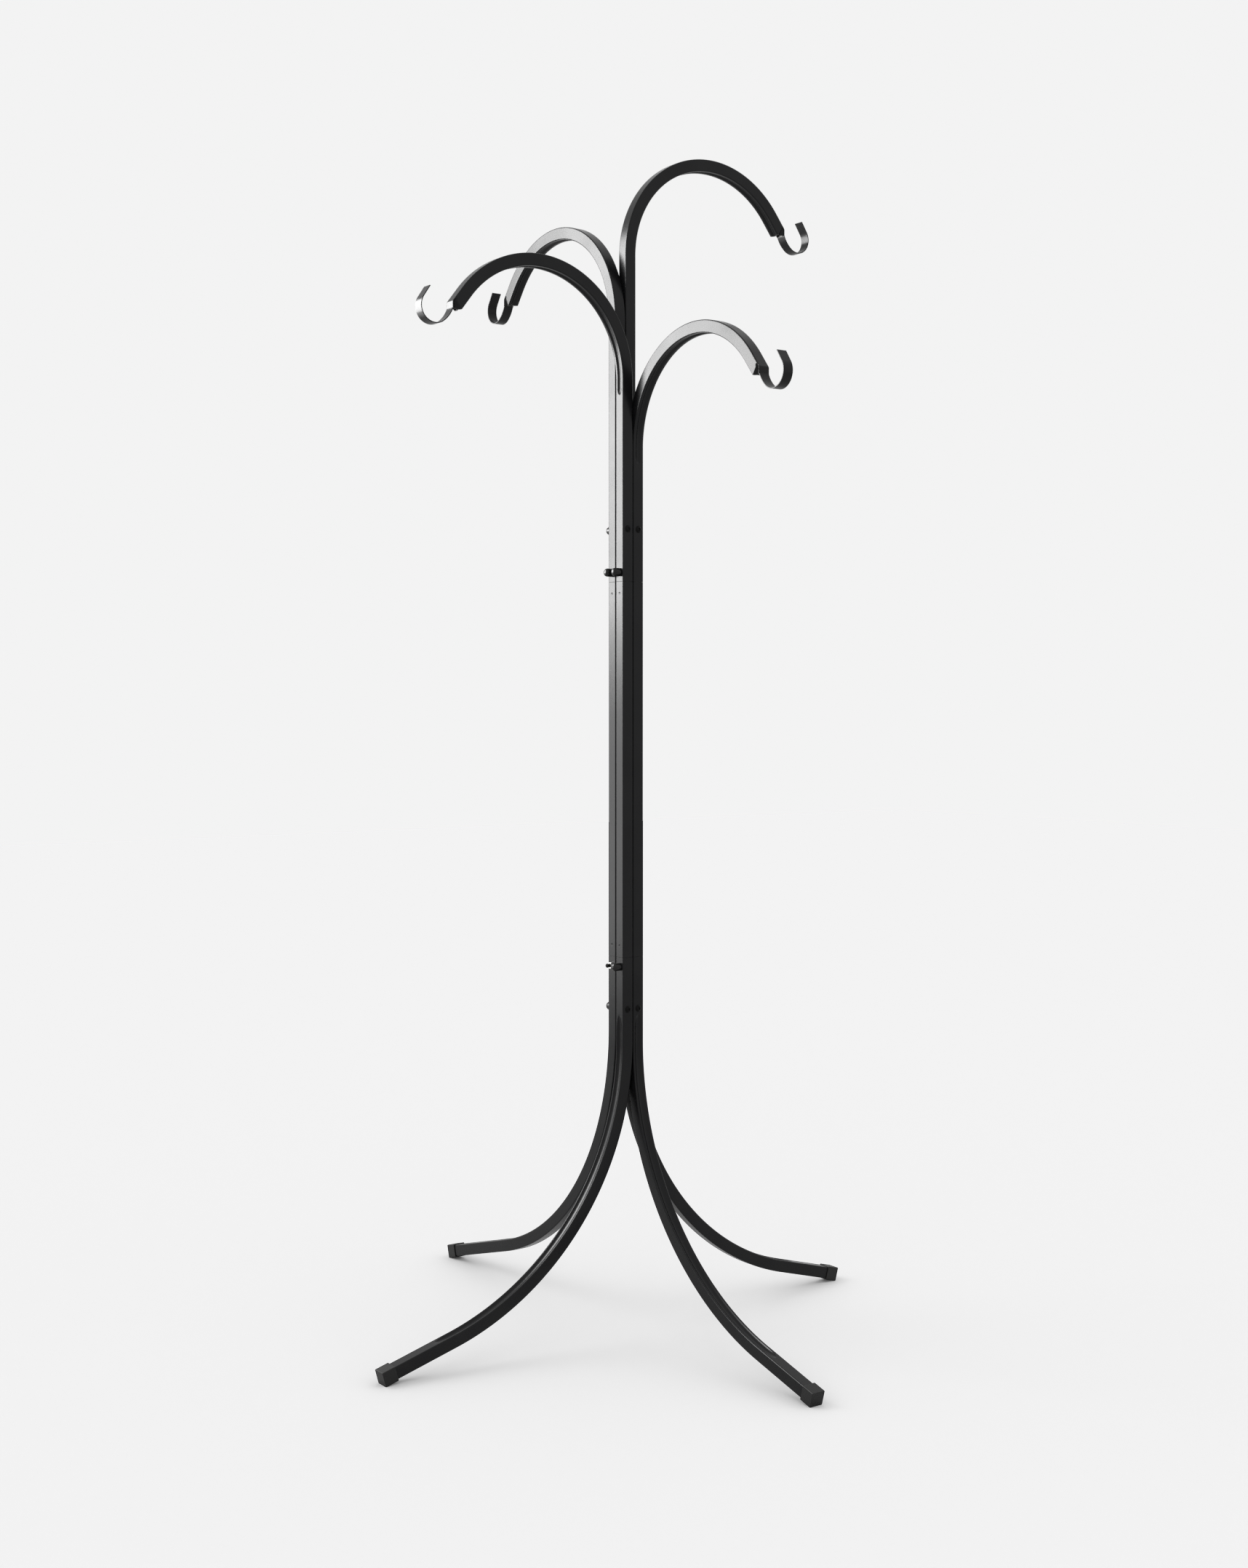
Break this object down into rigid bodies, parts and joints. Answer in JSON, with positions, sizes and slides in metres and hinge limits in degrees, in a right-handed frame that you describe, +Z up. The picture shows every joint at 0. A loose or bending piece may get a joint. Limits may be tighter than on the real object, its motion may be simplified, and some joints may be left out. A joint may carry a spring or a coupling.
{
  "type": "hanging plant stand",
  "caption": "Tall free-standing plant stand: bent square steel tubes bolted back to back as one pole, with curved hook arms at stepped heights above and curved legs below.",
  "frame": {"origin": "on the floor, on the axis of the pole, midway between the four tubes", "axes": "+Z up the pole, +X along the right arm and leg, +Y along the back arm and leg"},
  "size_m": [1.0096, 0.9392, 1.9432],
  "materials": {
    "powder_coat": "satin black powder coat on steel tube",
    "bare_steel": "plain drawn steel, hidden inside the tubes",
    "foot_rubber": "matt black moulded cap",
    "black_fastener": "black plated, satin",
    "zinc_nut": "zinc plated, bright",
    "cap_plastic": "smooth black moulded cap"
  },
  "bodies": {
    "root": {"arm_back": "powder_coat", "arm_left": "powder_coat", "arm_front": "powder_coat", "arm_right": "powder_coat", "post_back": "powder_coat", "post_left": "powder_coat", "post_front": "powder_coat", "post_right": "powder_coat", "leg_back": "powder_coat", "leg_left": "powder_coat", "leg_front": "powder_coat", "leg_right": "powder_coat", "upper_connector_back": "bare_steel", "upper_connector_left": "bare_steel", "upper_connector_front": "bare_steel", "upper_connector_right": "bare_steel", "lower_connector_back": "bare_steel", "lower_connector_left": "bare_steel", "lower_connector_front": "bare_steel", "lower_connector_right": "bare_steel", "foot_cap_back": "foot_rubber", "foot_cap_left": "foot_rubber", "foot_cap_front": "foot_rubber", "foot_cap_right": "foot_rubber", "upper_bolt_front_left": "black_fastener", "upper_bolt_right_back": "black_fastener", "upper_bolt_left_back": "black_fastener", "upper_bolt_front_right": "black_fastener", "lower_bolt_front_left": "black_fastener", "lower_bolt_right_back": "black_fastener", "lower_bolt_left_back": "black_fastener", "lower_bolt_front_right": "black_fastener", "upper_hex_nut_front_left": "zinc_nut", "upper_hex_nut_right_back": "zinc_nut", "upper_hex_nut_left_back": "zinc_nut", "upper_hex_nut_front_right": "zinc_nut", "lower_hex_nut_front_left": "zinc_nut", "lower_hex_nut_right_back": "zinc_nut", "lower_hex_nut_left_back": "zinc_nut", "lower_hex_nut_front_right": "zinc_nut", "upper_nut_cap_front_left": "cap_plastic", "upper_nut_cap_right_back": "cap_plastic", "upper_nut_cap_left_back": "cap_plastic", "upper_nut_cap_front_right": "cap_plastic", "lower_nut_cap_front_left": "cap_plastic", "lower_nut_cap_right_back": "cap_plastic", "lower_nut_cap_front_right": "cap_plastic"}
  },
  "joints": []
}
